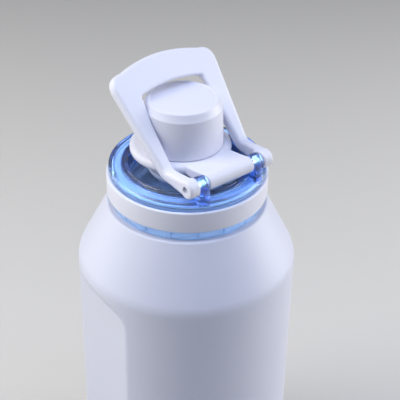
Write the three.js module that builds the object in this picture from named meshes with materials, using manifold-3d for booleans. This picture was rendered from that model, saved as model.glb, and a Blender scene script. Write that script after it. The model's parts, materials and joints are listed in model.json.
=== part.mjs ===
// Large insulated water jug: a double-walled steel bottle, a screw lid with a clear
// collar, a drinking spout under a flip cap, and a carry handle on the cap's hinge.
// Millimetres, +Z up, origin at the centre of the base. The hinge is on the -Y side
// and its axis runs along X.
import * as THREE from 'three';
import { mergeVertices } from 'three/addons/utils/BufferGeometryUtils.js';
import Module from 'manifold-3d';

const wasm = await Module();
wasm.setup();

// Bottle
const BODY_RADIUS = 62;
const SHELL_WALL = 0.7;
const BASE_EDGE_RADIUS = 7;
const BASE_OPENING_RADIUS = 50;
const SHELL_BASE_Z = 2.5;
const SHOULDER_CORNER_Z = 191.4;
const SHOULDER_TOP_Z = 225.6;
const SHOULDER_TOP_RADIUS = 44.7;
const SHOULDER_FILLET = 15;
const NECK_RADIUS = 39.3;
const NECK_TOP_Z = 243.6;

// Grip panels, pressed flat into the two sides of the outer shell
const PANEL_DISTANCE = 55;
const PANEL_LOW_Z = 34;
const PANEL_HIGH_Z = 178.5;
const PANEL_HALF_WIDTH = 28.6;
const PANEL_CORNER = 9;
const PANEL_LEDGE = 6;
const PANEL_AZIMUTH = 171.6;

// Inner liner
const LINER_RADIUS = 53;
const LINER_WALL = 0.6;
const LINER_FLOOR_Z = 9.5;
const LINER_CORNER_Z = 187;
const LINER_NECK_Z = 221;
const MOUTH_RADIUS = 37.1;
const LIP_TOP_Z = 244.9;

// Base
const BASE_PLATE_Z = 4.4;
const PAD_RADIUS = 48.5;
const PAD_THICKNESS = 3.2;

// Lid
const SKIRT_RADIUS = 42.83;
const SKIRT_FOOT_RADIUS = 42.1;
const SKIRT_INNER_RADIUS = 41.35;
const SKIRT_BOTTOM_Z = 226;
const RIM_RADIUS = 43.4;
const RIM_BOTTOM_Z = 244.6;
const RIM_TOP_Z = 249.8;
const DECK_THICKNESS = 2.5;
const CORE_RADIUS = 36.3;
const RECESS_RADIUS = 32.3;
const RECESS_FLOOR_Z = 242;
const CORE_BOTTOM_Z = 230;
const BAND_RADIUS = 44.6;
const BAND_LOW_Z = 232;
const BAND_HIGH_Z = 244.3;

// Screw thread, right-handed, two starts
const THREAD_LEAD = 8;
const THREAD_STARTS = 2;
const THREAD_BASE_WIDTH = 1.6;
const THREAD_CREST_WIDTH = 0.8;
const THREAD_LOW_Z = 229.5;
const NECK_THREAD_CREST = 40.5;
const LID_THREAD_CREST = 39.8;

// Spout and cap share one upright axis
const SPOUT_Y = 4.6;
const SPOUT_RADIUS = 14;
const SPOUT_BORE_RADIUS = 12.2;
const SPOUT_TOP_Z = 280.4;
const CAP_BASE_RADIUS = 22.4;
const CAP_EDGE_RADIUS = 21.6;
const CAP_LOW_Z = 260;
const CAP_EDGE_Z = 282.3;
const CAP_TOP_Z = 286.6;
const CAP_WALL = 2;
const INSERT_THICKNESS = 1.7;
const SEAL_THICKNESS = 1.6;

// Hinge
const HINGE_Y = -33.6;
const HINGE_Z = 258.1;
const BARREL_RADIUS = 4.5;
const BARREL_HALF_LENGTH = 15;
const EAR_INNER_X = 15.5;
const EAR_OUTER_X = 21.2;
const EAR_RADIUS = 4.7;
const PIN_RADIUS = 2;
const PIN_BORE_RADIUS = 2.1;
const PIN_INNER_X = 11;
const PIN_OUTER_X = 27.1;

// Flap plate under the cap
const FLAP_RADIUS = 28;
const FLAP_CENTRE_Y = 6.2;
const FLAP_TOP_Z = 259.6;
const FLAP_THICKNESS = 6;
const FLAP_EDGE = 2.4;
const FLAP_HOLE_RADIUS = 20;

// Handle, drawn as two straight stretches in side view: level, then rising
const HANDLE_THICKNESS = 6.6;
const HANDLE_LEVEL = 18.5;
const HANDLE_RISE_ANGLE = 44.4;
const BOSS_RADIUS = 5.1;
const BOSS_INNER_X = 21.8;
const BOSS_OUTER_X = 28.1;
const HANDLE_FOOT_HALF_WIDTH = 28.6;
const HANDLE_TOP_HALF_WIDTH = 34.2;
const HANDLE_WINDOW_HALF_WIDTH = 22.6;
const HANDLE_SIDE_LENGTH = 48.6;
const HANDLE_LENGTH = 62.5;
const HANDLE_CORNER_X = 26.2;
const HANDLE_CORNER_LENGTH = 57.8;
const WINDOW_LENGTH = 46.6;
const WINDOW_SIDE_LENGTH = 43.6;

const degrees = THREE.MathUtils.degToRad;

// ---------- solids ----------

function closed(geometry) {
  geometry.deleteAttribute('normal');
  geometry.deleteAttribute('uv');
  const merged = mergeVertices(geometry, 1e-4);
  const place = merged.attributes.position;
  const index = merged.index.array;
  const corner = [new THREE.Vector3(), new THREE.Vector3(), new THREE.Vector3()];
  const faces = [];
  let volume = 0;
  for (let i = 0; i < index.length; i += 3) {
    const [a, b, c] = index.slice(i, i + 3);
    if (a === b || b === c || a === c) continue;
    corner.forEach((point, k) => point.fromBufferAttribute(place, [a, b, c][k]));
    volume += corner[0].dot(corner[1].cross(corner[2]));
    faces.push([a, b, c]);
  }
  const outward = volume > 0 ? faces : faces.map(([a, b, c]) => [a, c, b]);
  merged.setIndex(outward.flat());
  return merged;
}

function solid(geometry) {
  const shape = closed(geometry);
  return new wasm.Manifold(new wasm.Mesh({
    numProp: 3,
    vertProperties: Float32Array.from(shape.attributes.position.array),
    triVerts: Uint32Array.from(shape.index.array),
  }));
}

function surface(manifold) {
  const mesh = manifold.getMesh();
  const geometry = new THREE.BufferGeometry();
  geometry.setAttribute('position', new THREE.BufferAttribute(mesh.vertProperties, 3));
  geometry.setIndex(new THREE.BufferAttribute(mesh.triVerts, 1));
  return geometry;
}

function arc(radius, height, size, from, to, steps = 4) {
  const points = [];
  for (let i = 0; i <= steps; i += 1) {
    const angle = degrees(from + ((to - from) * i) / steps);
    points.push([radius + size * Math.cos(angle), height + size * Math.sin(angle)]);
  }
  return points;
}

// Turns a list of [radius, height] points about the Z axis.
function turned(points, segments = 48) {
  const onAxis = points[0][0] === 0 && points.at(-1)[0] === 0;
  const loop = onAxis ? points : [...points, points[0]];
  const geometry = new THREE.LatheGeometry(loop.map(([r, z]) => new THREE.Vector2(r, z)), segments);
  return geometry.rotateX(Math.PI / 2);
}

function ring(inner, outer, low, high, segments = 48) {
  return turned([[inner, low], [outer, low], [outer, high], [inner, high]], segments);
}

function disc(radius, low, high, segments = 40) {
  return turned([[0, low], [radius, low], [radius, high], [0, high]], segments);
}

// A round bar along X between two x positions, on the hinge axis.
function hingeBar(radius, from, to, segments = 24) {
  const bar = new THREE.CylinderGeometry(radius, radius, to - from, segments);
  return bar.rotateZ(Math.PI / 2).translate((from + to) / 2, HINGE_Y, HINGE_Z);
}

// One helical ridge from the root radius to the crest radius.
function threadRidge(root, crest, lowZ, startAngle, sweep) {
  const steps = Math.ceil(sweep / 12);
  const position = [];
  const faces = [];
  for (let i = 0; i <= steps; i += 1) {
    const turn = (sweep * i) / steps;
    const angle = degrees(startAngle + turn);
    const z = lowZ + (THREAD_LEAD * turn) / 360;
    const section = [
      [root, -THREAD_BASE_WIDTH / 2],
      [crest, -THREAD_CREST_WIDTH / 2],
      [crest, THREAD_CREST_WIDTH / 2],
      [root, THREAD_BASE_WIDTH / 2],
    ];
    for (const [radius, offset] of section) {
      position.push(radius * Math.cos(angle), radius * Math.sin(angle), z + offset);
    }
  }
  for (let i = 0; i < steps; i += 1) {
    for (let k = 0; k < 4; k += 1) {
      const a = 4 * i + k;
      const b = 4 * i + ((k + 1) % 4);
      faces.push(a, b, b + 4, a, b + 4, a + 4);
    }
  }
  const last = 4 * steps;
  faces.push(0, 2, 1, 0, 3, 2, last, last + 1, last + 2, last, last + 2, last + 3);
  const geometry = new THREE.BufferGeometry();
  geometry.setAttribute('position', new THREE.Float32BufferAttribute(position, 3));
  geometry.setIndex(faces);
  return geometry;
}

function withThreads(manifold, root, crest, lowZ, firstAngle, sweep) {
  let result = manifold;
  for (let i = 0; i < THREAD_STARTS; i += 1) {
    const start = firstAngle + (360 * i) / THREAD_STARTS;
    result = result.add(solid(threadRidge(root, crest, lowZ, start, sweep)));
  }
  return result;
}

// ---------- bottle ----------

// The cutter that presses one flat grip panel, its ledge opening outwards.
function panelCutter(distance, grow, azimuth) {
  const wide = PANEL_HALF_WIDTH + grow;
  const low = PANEL_LOW_Z - grow;
  const high = PANEL_HIGH_Z + grow;
  const r = PANEL_CORNER;
  const outline = new THREE.Shape();
  outline.moveTo(-wide + r, low);
  outline.lineTo(wide - r, low);
  outline.absarc(wide - r, low + r, r, -Math.PI / 2, 0, false);
  outline.lineTo(wide, high - r);
  outline.absarc(wide - r, high - r, r, 0, Math.PI / 2, false);
  outline.lineTo(-wide + r, high);
  outline.absarc(-wide + r, high - r, r, Math.PI / 2, Math.PI, false);
  outline.lineTo(-wide, low + r);
  outline.absarc(-wide + r, low + r, r, Math.PI, 1.5 * Math.PI, false);
  const geometry = new THREE.ExtrudeGeometry(outline, {
    depth: PANEL_LEDGE,
    bevelThickness: PANEL_LEDGE,
    bevelSize: PANEL_LEDGE,
    bevelSegments: 1,
    curveSegments: 4,
  });
  const side = new THREE.Vector3(-Math.sin(degrees(azimuth)), Math.cos(degrees(azimuth)), 0);
  const up = new THREE.Vector3(0, 0, 1);
  const out = new THREE.Vector3(Math.cos(degrees(azimuth)), Math.sin(degrees(azimuth)), 0);
  geometry.translate(0, 0, distance + PANEL_LEDGE);
  return geometry.applyMatrix4(new THREE.Matrix4().makeBasis(side, up, out));
}

// The body outline from the base opening to the shoulder's top edge, moved in by inset.
function bodyOutline(inset) {
  const radius = BODY_RADIUS - inset;
  const lowZ = SHELL_BASE_Z + inset;
  const slope = Math.atan2(SHOULDER_TOP_Z - SHOULDER_CORNER_Z, BODY_RADIUS - SHOULDER_TOP_RADIUS);
  const lean = 90 - THREE.MathUtils.radToDeg(slope);
  const fillet = SHOULDER_FILLET - inset;
  const reach = SHOULDER_FILLET * Math.tan(degrees(lean) / 2);
  const edge = BASE_EDGE_RADIUS - inset;
  const edgeZ = SHOULDER_TOP_Z - 1.2;
  return [
    ...arc(radius - edge, lowZ + edge, edge, -90, 0, 4),
    ...arc(radius - fillet, SHOULDER_CORNER_Z - reach, fillet, 0, lean, 5),
    [SHOULDER_TOP_RADIUS - inset * Math.cos(degrees(lean)), edgeZ - inset * Math.sin(degrees(lean))],
  ];
}

function outerShell() {
  const outside = solid(turned([
    [0, SHELL_BASE_Z],
    ...bodyOutline(0),
    [SHOULDER_TOP_RADIUS - 1.2, SHOULDER_TOP_Z],
    [NECK_RADIUS, SHOULDER_TOP_Z],
    [NECK_RADIUS, NECK_TOP_Z],
    [0, NECK_TOP_Z],
  ]));
  const inside = solid(turned([
    [0, SHELL_BASE_Z + SHELL_WALL],
    ...bodyOutline(SHELL_WALL),
    [NECK_RADIUS - SHELL_WALL, SHOULDER_TOP_Z - SHELL_WALL],
    [NECK_RADIUS - SHELL_WALL, NECK_TOP_Z + 1],
    [0, NECK_TOP_Z + 1],
  ]));
  let hollow = inside;
  let body = outside;
  for (const azimuth of [PANEL_AZIMUTH, PANEL_AZIMUTH + 180]) {
    body = body.subtract(solid(panelCutter(PANEL_DISTANCE, 0, azimuth)));
    hollow = hollow.subtract(solid(panelCutter(PANEL_DISTANCE - SHELL_WALL, SHELL_WALL / 2, azimuth)));
  }
  const opening = solid(disc(BASE_OPENING_RADIUS, 0, SHELL_BASE_Z + 2 * SHELL_WALL));
  const shell = body.subtract(hollow).subtract(opening);
  return surface(withThreads(shell, NECK_RADIUS - 0.4, NECK_THREAD_CREST, THREAD_LOW_Z, 0, 270));
}

// A dished steel cup whose top lip rolls over the end of the outer neck.
function innerLiner() {
  const wall = LINER_WALL;
  const corner = 10;
  const floor = LINER_FLOOR_Z;
  const neck = MOUTH_RADIUS;
  return closed(turned([
    [0, floor],
    ...arc(LINER_RADIUS - corner, floor + corner, corner, -90, 0, 4),
    [LINER_RADIUS, LINER_CORNER_Z],
    [neck, LINER_NECK_Z],
    [neck, LIP_TOP_Z],
    [NECK_RADIUS, LIP_TOP_Z],
    [NECK_RADIUS, LIP_TOP_Z - wall],
    [neck + wall, LIP_TOP_Z - wall],
    [neck + wall, LINER_NECK_Z],
    [LINER_RADIUS + wall, LINER_CORNER_Z],
    ...arc(LINER_RADIUS - corner, floor + corner, corner + wall, 0, -90, 4),
    [0, floor - wall],
  ]));
}

// The welded base disc, with a dimple in the middle for the evacuation hole's seal.
function basePlate() {
  const low = BASE_PLATE_Z;
  const high = low + SHELL_WALL;
  const radius = BASE_OPENING_RADIUS - 0.3;
  return closed(turned([
    [0, low + 1.4],
    [4, low + 1.4],
    [6, low],
    [radius, low],
    [radius, high],
    [6.5, high],
    [4.5, high + 1.4],
    [0, high + 1.4],
  ], 48));
}

function vacuumSealBead() {
  return closed(turned([
    [0, BASE_PLATE_Z - 0.5],
    [2, BASE_PLATE_Z - 0.3],
    [3.2, BASE_PLATE_Z + 0.4],
    [3.2, BASE_PLATE_Z + 1.1],
    [0, BASE_PLATE_Z + 1.1],
  ], 24));
}

function getterPellet() {
  const low = BASE_PLATE_Z + SHELL_WALL + 0.3;
  return closed(disc(6, low, low + 2, 24).translate(22, 0, 0));
}

function basePad() {
  return closed(turned([
    [0, 0],
    [PAD_RADIUS - 1.5, 0],
    [PAD_RADIUS, 1.2],
    [PAD_RADIUS, PAD_THICKNESS],
    [0, PAD_THICKNESS],
  ]));
}

// ---------- lid ----------

// One clear hinge ear: a rounded plate standing on the rim, pierced for the pin.
function ear(side) {
  const outline = new THREE.Shape();
  const foot = RIM_TOP_Z - 1 - HINGE_Z;
  outline.moveTo(-EAR_RADIUS - 1, foot);
  outline.lineTo(EAR_RADIUS + 1, foot);
  outline.lineTo(EAR_RADIUS, 0);
  outline.absarc(0, 0, EAR_RADIUS, 0, Math.PI, false);
  const thickness = EAR_OUTER_X - EAR_INNER_X;
  const plate = new THREE.ExtrudeGeometry(outline, {
    depth: thickness,
    bevelEnabled: false,
    curveSegments: 10,
  });
  plate.rotateX(Math.PI / 2).rotateZ(Math.PI / 2);
  const x = side > 0 ? EAR_INNER_X : -EAR_OUTER_X;
  return plate.translate(x, HINGE_Y, HINGE_Z);
}

function lidBody() {
  let body = solid(turned([
    [SKIRT_INNER_RADIUS, SKIRT_BOTTOM_Z],
    [SKIRT_FOOT_RADIUS, SKIRT_BOTTOM_Z],
    [SKIRT_FOOT_RADIUS, BAND_LOW_Z - 0.6],
    [SKIRT_RADIUS, BAND_LOW_Z + 0.2],
    [SKIRT_RADIUS, RIM_BOTTOM_Z],
    [RIM_RADIUS, RIM_BOTTOM_Z],
    ...arc(RIM_RADIUS - 2, RIM_TOP_Z - 2, 2, 0, 90, 4),
    [CORE_RADIUS + 0.3, RIM_TOP_Z],
    [CORE_RADIUS + 0.3, RIM_TOP_Z - DECK_THICKNESS],
    [SKIRT_INNER_RADIUS, RIM_TOP_Z - DECK_THICKNESS],
  ], 56));
  const overCore = solid(disc(CORE_RADIUS + 0.3, RIM_BOTTOM_Z - 1, RIM_TOP_Z + 0.5));
  const trim = solid(disc(RIM_RADIUS + 0.4, RIM_BOTTOM_Z, HINGE_Z + 2 * EAR_RADIUS, 56)).subtract(overCore);
  for (const side of [-1, 1]) body = body.add(solid(ear(side)).intersect(trim));
  body = withThreads(body, SKIRT_INNER_RADIUS + 0.3, LID_THREAD_CREST, THREAD_LOW_Z + 2.9, 40, 180);
  return surface(body.subtract(solid(hingeBar(PIN_BORE_RADIUS, -BOSS_OUTER_X, BOSS_OUTER_X))));
}

function collarBand() {
  const inner = SKIRT_RADIUS + 0.3;
  return closed(turned([
    [inner, BAND_LOW_Z],
    [BAND_RADIUS - 0.6, BAND_LOW_Z],
    [BAND_RADIUS, BAND_LOW_Z + 0.6],
    [BAND_RADIUS, BAND_HIGH_Z - 0.9],
    [BAND_RADIUS - 0.9, BAND_HIGH_Z],
    [inner, BAND_HIGH_Z],
  ], 56));
}

function spoutHole(radius) {
  return solid(disc(radius, CORE_BOTTOM_Z - 1, RIM_TOP_Z + 1).translate(0, SPOUT_Y, 0));
}

// The moulded pan inside the rim: recess floor on top, plug wall below.
function lidCore() {
  const pan = solid(turned([
    [0, RECESS_FLOOR_Z],
    [RECESS_RADIUS, RECESS_FLOOR_Z],
    [RECESS_RADIUS, RIM_TOP_Z + 0.2],
    [CORE_RADIUS, RIM_TOP_Z + 0.2],
    [CORE_RADIUS, CORE_BOTTOM_Z],
    [CORE_RADIUS - 2, CORE_BOTTOM_Z],
    [CORE_RADIUS - 2, RECESS_FLOOR_Z - 2],
    [0, RECESS_FLOOR_Z - 2],
  ]));
  return surface(pan.subtract(spoutHole(SPOUT_RADIUS + 0.3)));
}

// The lower lid plate closes the pan from below; its sleeve lines the way to the spout.
function lidUnderside() {
  const plate = solid(disc(CORE_RADIUS - 2.3, CORE_BOTTOM_Z, CORE_BOTTOM_Z + 2.2));
  const sleeve = disc(SPOUT_RADIUS + 1.5, CORE_BOTTOM_Z + 1, RECESS_FLOOR_Z - 2.3).translate(0, SPOUT_Y, 0);
  return surface(plate.add(solid(sleeve)).subtract(spoutHole(SPOUT_RADIUS + 0.3)));
}

function lidGasket() {
  return closed(turned([
    [CORE_RADIUS + 0.3, LIP_TOP_Z + 0.3],
    [NECK_RADIUS + 0.4, LIP_TOP_Z + 0.3],
    [NECK_RADIUS + 0.9, LIP_TOP_Z + 1.1],
    [NECK_RADIUS + 0.4, RIM_TOP_Z - DECK_THICKNESS - 0.3],
    [CORE_RADIUS + 0.3, RIM_TOP_Z - DECK_THICKNESS - 0.3],
  ]));
}

function spout() {
  const flange = RECESS_FLOOR_Z + 1.8;
  return closed(turned([
    [SPOUT_BORE_RADIUS, CORE_BOTTOM_Z + 0.5],
    [SPOUT_RADIUS, CORE_BOTTOM_Z + 0.5],
    [SPOUT_RADIUS, flange],
    [SPOUT_RADIUS + 5, flange],
    [SPOUT_RADIUS + 5, flange + 1.8],
    [SPOUT_RADIUS, flange + 3],
    [SPOUT_RADIUS, SPOUT_TOP_Z - 1],
    ...arc(SPOUT_RADIUS - 0.9, SPOUT_TOP_Z - 0.9, 0.9, 0, 180, 4),
  ], 48).translate(0, SPOUT_Y, 0));
}

function spoutSeal() {
  const low = RECESS_FLOOR_Z + 0.3;
  return closed(ring(SPOUT_RADIUS + 0.3, SPOUT_RADIUS + 4, low, low + 1.2, 48).translate(0, SPOUT_Y, 0));
}

function hingePin(side) {
  const ends = [side * PIN_INNER_X, side * PIN_OUTER_X].sort((a, b) => a - b);
  return closed(hingeBar(PIN_RADIUS, ...ends));
}

// ---------- flip cap ----------

// A round flange under the cap, joined to the hinge barrel by a wedge-shaped waist.
function capFlap() {
  const low = FLAP_TOP_Z - FLAP_THICKNESS;
  const flange = turned([
    [0, low],
    ...arc(FLAP_RADIUS - FLAP_EDGE, low + FLAP_EDGE, FLAP_EDGE, -90, 0, 2),
    ...arc(FLAP_RADIUS - FLAP_EDGE, FLAP_TOP_Z - FLAP_EDGE, FLAP_EDGE, 0, 90, 2),
    [0, FLAP_TOP_Z],
  ]);
  const inside = FLAP_CENTRE_Y - FLAP_RADIUS + 8;
  const waist = new THREE.Shape();
  waist.moveTo(HINGE_Y, low + 1);
  waist.lineTo(inside, low + 1);
  waist.lineTo(inside, FLAP_TOP_Z - 0.1);
  waist.lineTo(inside - 4, FLAP_TOP_Z);
  waist.lineTo(HINGE_Y, HINGE_Z + BARREL_RADIUS - 0.1);
  const neckHalf = BARREL_HALF_LENGTH - 0.4;
  const plate = new THREE.ExtrudeGeometry(waist, { depth: 2 * neckHalf, bevelEnabled: false });
  plate.rotateX(Math.PI / 2).rotateZ(Math.PI / 2).translate(-neckHalf, 0, 0);
  const barrel = hingeBar(BARREL_RADIUS, -BARREL_HALF_LENGTH, BARREL_HALF_LENGTH, 28);
  let flap = solid(flange.translate(0, FLAP_CENTRE_Y, 0)).add(solid(plate)).add(solid(barrel));
  flap = flap.subtract(solid(disc(FLAP_HOLE_RADIUS, low - 1, FLAP_TOP_Z + 1).translate(0, SPOUT_Y, 0)));
  for (const side of [-1, 1]) {
    const ends = [side * (PIN_INNER_X - 0.5), side * (BARREL_HALF_LENGTH + 1)].sort((a, b) => a - b);
    flap = flap.subtract(solid(hingeBar(PIN_BORE_RADIUS, ...ends)));
  }
  return surface(flap);
}

function spoutCap() {
  const inner = CAP_BASE_RADIUS - CAP_WALL;
  const innerTop = CAP_TOP_Z - CAP_WALL;
  const crown = CAP_TOP_Z - CAP_EDGE_Z;
  return closed(turned([
    [0, innerTop],
    [inner - 1, innerTop],
    [inner, CAP_LOW_Z],
    [CAP_BASE_RADIUS, CAP_LOW_Z],
    [CAP_EDGE_RADIUS, CAP_EDGE_Z],
    [CAP_EDGE_RADIUS - 0.5, CAP_EDGE_Z + 0.55 * crown],
    [CAP_EDGE_RADIUS - 1.5, CAP_EDGE_Z + 0.88 * crown],
    [CAP_EDGE_RADIUS - 3, CAP_TOP_Z],
    [0, CAP_TOP_Z],
  ]));
}

// A moulded puck clipped into the crown of the cap; it backs the seal.
function capInsert() {
  const high = CAP_TOP_Z - CAP_WALL - 0.3;
  return closed(turned([
    [0, high - INSERT_THICKNESS],
    [SPOUT_RADIUS + 2.4, high - INSERT_THICKNESS],
    [SPOUT_RADIUS + 3.4, high - 0.7],
    [SPOUT_RADIUS + 3.4, high],
    [0, high],
  ], 40).translate(0, SPOUT_Y, 0));
}

function capSeal() {
  const high = CAP_TOP_Z - CAP_WALL - INSERT_THICKNESS - 0.6;
  return closed(disc(SPOUT_RADIUS + 2, high - SEAL_THICKNESS, high, 40).translate(0, SPOUT_Y, 0));
}

// ---------- handle ----------

// Outline of the loop in its own plane, its second axis running up the rising stretch.
function handleLoop() {
  const foot = HANDLE_FOOT_HALF_WIDTH;
  const top = HANDLE_TOP_HALF_WIDTH;
  const corner = HANDLE_CORNER_X;
  const window = HANDLE_WINDOW_HALF_WIDTH;
  const bulge = HANDLE_SIDE_LENGTH + 8;
  const crown = 2 * HANDLE_LENGTH - HANDLE_CORNER_LENGTH;
  const outline = new THREE.Shape();
  outline.moveTo(-foot, 0);
  outline.lineTo(-top, HANDLE_SIDE_LENGTH);
  outline.quadraticCurveTo(-top - 0.4, bulge, -corner, HANDLE_CORNER_LENGTH);
  outline.quadraticCurveTo(0, crown, corner, HANDLE_CORNER_LENGTH);
  outline.quadraticCurveTo(top + 0.4, bulge, top, HANDLE_SIDE_LENGTH);
  outline.lineTo(foot, 0);
  outline.lineTo(window, 0);
  outline.lineTo(window - 0.6, WINDOW_SIDE_LENGTH);
  outline.quadraticCurveTo(0, 2 * WINDOW_LENGTH - WINDOW_SIDE_LENGTH, 0.6 - window, WINDOW_SIDE_LENGTH);
  outline.lineTo(-window, 0);
  return outline;
}

// Side view of both arms: level from the boss to the bend, meeting the rising loop.
function handleArm(side) {
  const half = HANDLE_THICKNESS / 2;
  const lean = degrees(HANDLE_RISE_ANGLE);
  const bend = half * Math.tan(lean / 2);
  const along = Math.cos(lean);
  const rise = Math.sin(lean);
  const across = half * rise;
  const drop = half * along;
  const outline = new THREE.Shape();
  outline.moveTo(0, -half);
  outline.lineTo(HANDLE_LEVEL + bend, -half);
  outline.lineTo(HANDLE_LEVEL + along + across, rise - drop);
  outline.lineTo(HANDLE_LEVEL + along - across, rise + drop);
  outline.lineTo(HANDLE_LEVEL - bend, half);
  outline.lineTo(0, half);
  const width = HANDLE_FOOT_HALF_WIDTH - HANDLE_WINDOW_HALF_WIDTH;
  const arm = new THREE.ExtrudeGeometry(outline, { depth: width, bevelEnabled: false });
  arm.rotateX(Math.PI / 2).rotateZ(Math.PI / 2);
  const x = side > 0 ? HANDLE_WINDOW_HALF_WIDTH : -HANDLE_FOOT_HALF_WIDTH;
  return arm.translate(x, HINGE_Y, HINGE_Z);
}

function handle() {
  const loop = new THREE.ExtrudeGeometry(handleLoop(), {
    depth: HANDLE_THICKNESS,
    bevelEnabled: false,
    curveSegments: 10,
  });
  loop.translate(0, 0, -HANDLE_THICKNESS / 2);
  loop.rotateX(degrees(HANDLE_RISE_ANGLE));
  loop.translate(0, HINGE_Y + HANDLE_LEVEL, HINGE_Z);
  let result = solid(loop);
  for (const side of [-1, 1]) {
    const ends = [side * BOSS_INNER_X, side * BOSS_OUTER_X].sort((a, b) => a - b);
    result = result.add(solid(handleArm(side))).add(solid(hingeBar(BOSS_RADIUS, ...ends)));
  }
  return surface(result.subtract(solid(hingeBar(PIN_BORE_RADIUS, -BOSS_OUTER_X - 1, BOSS_OUTER_X + 1))));
}

// ---------- assembly ----------

const finishes = {
  coat: { color: 0xc9d1f0, roughness: 0.45, metalness: 0 },
  moulded: { color: 0xd3d9f4, roughness: 0.35, metalness: 0 },
  clearBlue: { color: 0x4f86e8, roughness: 0.08, metalness: 0, transparent: true, opacity: 0.5 },
  steel: { color: 0xc4c6c8, roughness: 0.28, metalness: 1 },
  silicone: { color: 0xb9c2e6, roughness: 0.7, metalness: 0 },
  solder: { color: 0x9a9a96, roughness: 0.5, metalness: 0.6 },
};

function piece(name, geometry, finish) {
  const mesh = new THREE.Mesh(geometry, new THREE.MeshStandardMaterial(finishes[finish]));
  mesh.name = name;
  return mesh;
}

const bottle = new THREE.Group();
bottle.add(
  piece('outer_shell', outerShell(), 'coat'),
  piece('inner_liner', innerLiner(), 'steel'),
  piece('base_plate', basePlate(), 'steel'),
  piece('vacuum_seal_bead', vacuumSealBead(), 'solder'),
  piece('getter_pellet', getterPellet(), 'solder'),
  piece('base_pad', basePad(), 'silicone'),
);

const lid = new THREE.Group();
lid.add(
  piece('lid_body', lidBody(), 'clearBlue'),
  piece('collar_band', collarBand(), 'moulded'),
  piece('lid_core', lidCore(), 'clearBlue'),
  piece('lid_underside', lidUnderside(), 'clearBlue'),
  piece('lid_gasket', lidGasket(), 'silicone'),
  piece('spout', spout(), 'moulded'),
  piece('spout_seal', spoutSeal(), 'silicone'),
  piece('hinge_pin_left', hingePin(-1), 'steel'),
  piece('hinge_pin_right', hingePin(1), 'steel'),
);

const flipCap = new THREE.Group();
const upperCap = piece('spout_cap', spoutCap(), 'moulded');
upperCap.position.y = SPOUT_Y;
flipCap.add(
  piece('cap_flap', capFlap(), 'moulded'),
  upperCap,
  piece('cap_insert', capInsert(), 'moulded'),
  piece('cap_seal', capSeal(), 'silicone'),
);

const group = new THREE.Group();
group.add(bottle, lid, flipCap, piece('handle', handle(), 'moulded'));

export default group;
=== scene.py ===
import json
import math

import bmesh
import bpy
import numpy as np
from mathutils import Matrix, Vector


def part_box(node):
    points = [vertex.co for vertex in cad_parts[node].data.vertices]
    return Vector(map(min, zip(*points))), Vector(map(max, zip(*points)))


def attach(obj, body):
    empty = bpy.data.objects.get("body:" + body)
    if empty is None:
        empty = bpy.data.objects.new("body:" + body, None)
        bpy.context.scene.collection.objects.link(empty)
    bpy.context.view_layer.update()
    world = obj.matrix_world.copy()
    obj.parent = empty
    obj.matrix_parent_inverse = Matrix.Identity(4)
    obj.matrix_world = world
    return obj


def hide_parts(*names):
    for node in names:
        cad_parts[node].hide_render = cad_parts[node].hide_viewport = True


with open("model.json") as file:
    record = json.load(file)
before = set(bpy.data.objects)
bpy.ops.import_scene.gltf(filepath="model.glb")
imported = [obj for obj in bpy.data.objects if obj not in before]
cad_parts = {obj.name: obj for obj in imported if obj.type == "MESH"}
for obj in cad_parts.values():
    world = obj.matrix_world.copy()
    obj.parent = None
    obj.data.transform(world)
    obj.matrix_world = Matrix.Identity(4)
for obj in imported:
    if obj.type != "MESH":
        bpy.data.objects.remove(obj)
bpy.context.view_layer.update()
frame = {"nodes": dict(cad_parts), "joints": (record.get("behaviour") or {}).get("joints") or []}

MM = 0.001
TURNS = 192

# ---------- sizes, in millimetres, read from the frame ----------


def low(node):
    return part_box(node)[0] / MM


def high(node):
    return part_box(node)[1] / MM


JOINTS = {joint["name"]: joint for joint in frame["joints"]}
HINGE = Vector(JOINTS["cap_open"]["pos_m"]) / MM
BODY_RADIUS = high("outer_shell").x
SHELL_LOW_Z = low("outer_shell").z
NECK_TOP_Z = high("outer_shell").z
LIP_TOP_Z = high("inner_liner").z
SKIRT_LOW_Z = low("lid_body").z
BAND_RADIUS = high("collar_band").x
BAND_LOW_Z = low("collar_band").z
BAND_HIGH_Z = high("collar_band").z
CORE_RADIUS = high("lid_core").x
CORE_LOW_Z = low("lid_core").z
CORE_TOP_Z = high("lid_core").z
SPOUT_TOP_Z = high("spout").z
SPOUT_LOW_Z = low("spout").z
SPOUT_Y = (low("spout").y + high("spout").y) / 2
CAP_RADIUS = high("spout_cap").x
CAP_LOW_Z = low("spout_cap").z
CAP_TOP_Z = high("spout_cap").z
FLAP_RADIUS = high("cap_flap").x
FLAP_LOW_Z = low("cap_flap").z
PIN_OUTER_X = high("hinge_pin_right").x
PIN_INNER_X = low("hinge_pin_right").x
PIN_RADIUS = high("hinge_pin_right").z - HINGE.z
BOSS_OUTER_X = 28.1

# Sizes that the frame's boxes do not give, the same as the solid model's
SHELL_WALL = 0.7
SHOULDER_CORNER_Z = 191.4
SHOULDER_TOP_Z = 225.6
SHOULDER_TOP_RADIUS = 44.7
SHOULDER_FILLET = 15
NECK_RADIUS = 39.3
BASE_OPENING = 50
PANEL = {
    "Plane Distance": 55.0,
    "Half Width": 28.6,
    "Low": 34.0,
    "High": 178.5,
    "Corner": 9.0,
    "Softness": 1.5,
    "Azimuth": math.radians(171.6),
}
MOUTH_RADIUS = 37.1
LINER_RADIUS = 53
SKIRT_RADIUS = 42.83
SKIRT_FOOT_RADIUS = 42.1
SKIRT_INNER_RADIUS = 41.35
RIM_RADIUS = 43.4
RIM_LOW_Z = 244.6
RIM_TOP_Z = 249.8
DECK_THICKNESS = 2.5
RECESS_RADIUS = 32.3
RECESS_FLOOR_Z = 242
SPOUT_RADIUS = 14
SPOUT_BORE = 12.2
BARREL_RADIUS = 4.5
BARREL_HALF_LENGTH = 15
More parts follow.
